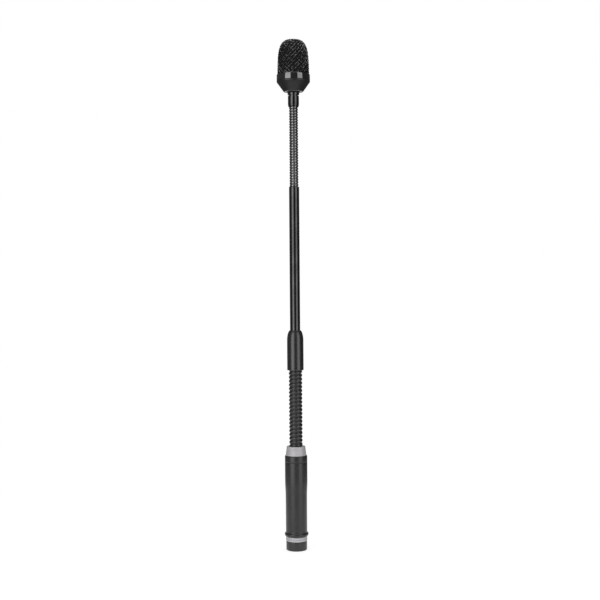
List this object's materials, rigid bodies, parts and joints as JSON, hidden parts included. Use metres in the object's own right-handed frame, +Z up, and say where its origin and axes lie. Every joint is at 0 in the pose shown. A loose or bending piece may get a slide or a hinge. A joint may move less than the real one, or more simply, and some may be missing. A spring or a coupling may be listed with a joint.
{
  "type": "gooseneck podium microphone",
  "caption": "Tall slim gooseneck microphone: mesh head, thin upper neck, straight stem, thicker ribbed lower neck and a three-pin plug-in tail.",
  "frame": {"origin": "middle of the tail's rim, the lowest face", "axes": "+Z up along the straightened microphone; -Y towards the tail's keyway"},
  "size_m": [0.0302, 0.0302, 0.4644],
  "materials": {
    "tail_black": "satin black",
    "barrel_black": "satin dark grey",
    "sleeve_black": "satin black",
    "gloss_black": "gloss black",
    "coil_black": "satin black, wound wire",
    "mesh_black": "black woven wire",
    "satin_silver": "satin",
    "contact_metal": "silver plated",
    "bare_steel": "plain",
    "insulator_black": "moulded",
    "board_green": "coated board",
    "capacitor_blue": "sleeved",
    "foam_grey": "open-cell foam",
    "mount_rubber": "moulded",
    "capsule_silver": "turned",
    "cable_grey": "sheathed"
  },
  "bodies": {
    "base": {"xlr_tail_shell": "tail_black", "xlr_insulator": "insulator_black", "xlr_pin_1": "contact_metal", "xlr_pin_2": "contact_metal", "xlr_pin_3": "contact_metal", "lower_trim_ring": "satin_silver", "handle_barrel": "barrel_black", "insert_screw": "bare_steel", "barrel_cap": "barrel_black", "upper_trim_collar": "satin_silver", "lower_neck_anchor": "bare_steel", "anchor_nut": "bare_steel", "preamp_board": "board_green", "preamp_transformer": "insulator_black", "coupling_capacitor_1": "capacitor_blue", "coupling_capacitor_2": "capacitor_blue", "signal_cable": "cable_grey", "lower_neck_section_0": "coil_black"},
    "lower_link_1": {"lower_neck_section_1": "coil_black"},
    "lower_link_2": {"lower_neck_section_2": "coil_black"},
    "lower_link_3": {"lower_neck_section_3": "coil_black"},
    "lower_link_4": {"lower_neck_section_4": "coil_black"},
    "lower_link_5": {"lower_neck_section_5": "coil_black"},
    "lower_link_6": {"lower_neck_section_6": "coil_black"},
    "lower_link_7": {"lower_neck_section_7": "coil_black"},
    "lower_link_8": {"lower_neck_section_8": "coil_black"},
    "lower_link_9": {"lower_neck_section_9": "coil_black"},
    "stem": {"lower_neck_section_10": "coil_black", "transition_sleeve": "sleeve_black", "stem_tube": "sleeve_black", "upper_neck_section_0": "coil_black"},
    "upper_link_1": {"upper_neck_section_1": "coil_black"},
    "upper_link_2": {"upper_neck_section_2": "coil_black"},
    "upper_link_3": {"upper_neck_section_3": "coil_black"},
    "upper_link_4": {"upper_neck_section_4": "coil_black"},
    "upper_link_5": {"upper_neck_section_5": "coil_black"},
    "upper_link_6": {"upper_neck_section_6": "coil_black"},
    "upper_link_7": {"upper_neck_section_7": "coil_black"},
    "upper_link_8": {"upper_neck_section_8": "coil_black"},
    "upper_link_9": {"upper_neck_section_9": "coil_black"},
    "head": {"upper_neck_section_10": "coil_black", "head_ferrule": "sleeve_black", "head_cup": "barrel_black", "ferrule_nut": "bare_steel", "grille_band": "gloss_black", "grille_mesh": "mesh_black", "foam_windscreen": "foam_grey", "grille_retainer": "bare_steel", "capsule_housing": "capsule_silver", "capsule_face": "capsule_silver", "capsule_diaphragm": "contact_metal", "capsule_mount": "mount_rubber"}
  },
  "joints": [
    {"name": "lower_neck_bend_x", "type": "hinge", "parent": "base", "child": "lower_link_1", "pos_m": [0, 0, 0.09749], "axis": [1, 0, 0], "range_deg": [-15, 15], "deforming": ["signal_cable"]},
    {"name": "lower_neck_bend_y", "type": "hinge", "parent": "lower_link_1", "child": "lower_link_2", "pos_m": [0, 0, 0.10447], "axis": [0, 1, 0], "range_deg": [-15, 15], "deforming": ["signal_cable"]},
    {"name": "lower_neck_bend_x_2", "type": "hinge", "parent": "lower_link_2", "child": "lower_link_3", "pos_m": [0, 0, 0.11145], "axis": [1, 0, 0], "range_deg": [-15, 15]},
    {"name": "lower_neck_bend_y_2", "type": "hinge", "parent": "lower_link_3", "child": "lower_link_4", "pos_m": [0, 0, 0.11843], "axis": [0, 1, 0], "range_deg": [-15, 15]},
    {"name": "lower_neck_bend_x_3", "type": "hinge", "parent": "lower_link_4", "child": "lower_link_5", "pos_m": [0, 0, 0.12541], "axis": [1, 0, 0], "range_deg": [-15, 15]},
    {"name": "lower_neck_bend_y_3", "type": "hinge", "parent": "lower_link_5", "child": "lower_link_6", "pos_m": [0, 0, 0.13239], "axis": [0, 1, 0], "range_deg": [-15, 15]},
    {"name": "lower_neck_bend_x_4", "type": "hinge", "parent": "lower_link_6", "child": "lower_link_7", "pos_m": [0, 0, 0.13937], "axis": [1, 0, 0], "range_deg": [-15, 15]},
    {"name": "lower_neck_bend_y_4", "type": "hinge", "parent": "lower_link_7", "child": "lower_link_8", "pos_m": [0, 0, 0.14635], "axis": [0, 1, 0], "range_deg": [-15, 15]},
    {"name": "lower_neck_bend_x_5", "type": "hinge", "parent": "lower_link_8", "child": "lower_link_9", "pos_m": [0, 0, 0.15333], "axis": [1, 0, 0], "range_deg": [-15, 15]},
    {"name": "lower_neck_bend_y_5", "type": "hinge", "parent": "lower_link_9", "child": "stem", "pos_m": [0, 0, 0.16031], "axis": [0, 1, 0], "range_deg": [-15, 15]},
    {"name": "upper_neck_bend_x", "type": "hinge", "parent": "stem", "child": "upper_link_1", "pos_m": [0, 0, 0.33455], "axis": [1, 0, 0], "range_deg": [-18, 18], "deforming": ["signal_cable"]},
    {"name": "upper_neck_bend_y", "type": "hinge", "parent": "upper_link_1", "child": "upper_link_2", "pos_m": [0, 0, 0.34185], "axis": [0, 1, 0], "range_deg": [-18, 18], "deforming": ["signal_cable"]},
    {"name": "upper_neck_bend_x_2", "type": "hinge", "parent": "upper_link_2", "child": "upper_link_3", "pos_m": [0, 0, 0.34915], "axis": [1, 0, 0], "range_deg": [-18, 18]},
    {"name": "upper_neck_bend_y_2", "type": "hinge", "parent": "upper_link_3", "child": "upper_link_4", "pos_m": [0, 0, 0.35645], "axis": [0, 1, 0], "range_deg": [-18, 18]},
    {"name": "upper_neck_bend_x_3", "type": "hinge", "parent": "upper_link_4", "child": "upper_link_5", "pos_m": [0, 0, 0.36375], "axis": [1, 0, 0], "range_deg": [-18, 18]},
    {"name": "upper_neck_bend_y_3", "type": "hinge", "parent": "upper_link_5", "child": "upper_link_6", "pos_m": [0, 0, 0.37105], "axis": [0, 1, 0], "range_deg": [-18, 18]},
    {"name": "upper_neck_bend_x_4", "type": "hinge", "parent": "upper_link_6", "child": "upper_link_7", "pos_m": [0, 0, 0.37835], "axis": [1, 0, 0], "range_deg": [-18, 18]},
    {"name": "upper_neck_bend_y_4", "type": "hinge", "parent": "upper_link_7", "child": "upper_link_8", "pos_m": [0, 0, 0.38565], "axis": [0, 1, 0], "range_deg": [-18, 18]},
    {"name": "upper_neck_bend_x_5", "type": "hinge", "parent": "upper_link_8", "child": "upper_link_9", "pos_m": [0, 0, 0.39295], "axis": [1, 0, 0], "range_deg": [-18, 18]},
    {"name": "upper_neck_bend_y_5", "type": "hinge", "parent": "upper_link_9", "child": "head", "pos_m": [0, 0, 0.40025], "axis": [0, 1, 0], "range_deg": [-18, 18]}
  ],
  "couplings": [
    {"joint": "lower_neck_bend_x_2", "follows": "lower_neck_bend_x", "ratio": 1},
    {"joint": "lower_neck_bend_y_2", "follows": "lower_neck_bend_y", "ratio": 1},
    {"joint": "lower_neck_bend_x_3", "follows": "lower_neck_bend_x", "ratio": 1},
    {"joint": "lower_neck_bend_y_3", "follows": "lower_neck_bend_y", "ratio": 1},
    {"joint": "lower_neck_bend_x_4", "follows": "lower_neck_bend_x", "ratio": 1},
    {"joint": "lower_neck_bend_y_4", "follows": "lower_neck_bend_y", "ratio": 1},
    {"joint": "lower_neck_bend_x_5", "follows": "lower_neck_bend_x", "ratio": 1},
    {"joint": "lower_neck_bend_y_5", "follows": "lower_neck_bend_y", "ratio": 1},
    {"joint": "upper_neck_bend_x_2", "follows": "upper_neck_bend_x", "ratio": 1},
    {"joint": "upper_neck_bend_y_2", "follows": "upper_neck_bend_y", "ratio": 1},
    {"joint": "upper_neck_bend_x_3", "follows": "upper_neck_bend_x", "ratio": 1},
    {"joint": "upper_neck_bend_y_3", "follows": "upper_neck_bend_y", "ratio": 1},
    {"joint": "upper_neck_bend_x_4", "follows": "upper_neck_bend_x", "ratio": 1},
    {"joint": "upper_neck_bend_y_4", "follows": "upper_neck_bend_y", "ratio": 1},
    {"joint": "upper_neck_bend_x_5", "follows": "upper_neck_bend_x", "ratio": 1},
    {"joint": "upper_neck_bend_y_5", "follows": "upper_neck_bend_y", "ratio": 1}
  ]
}
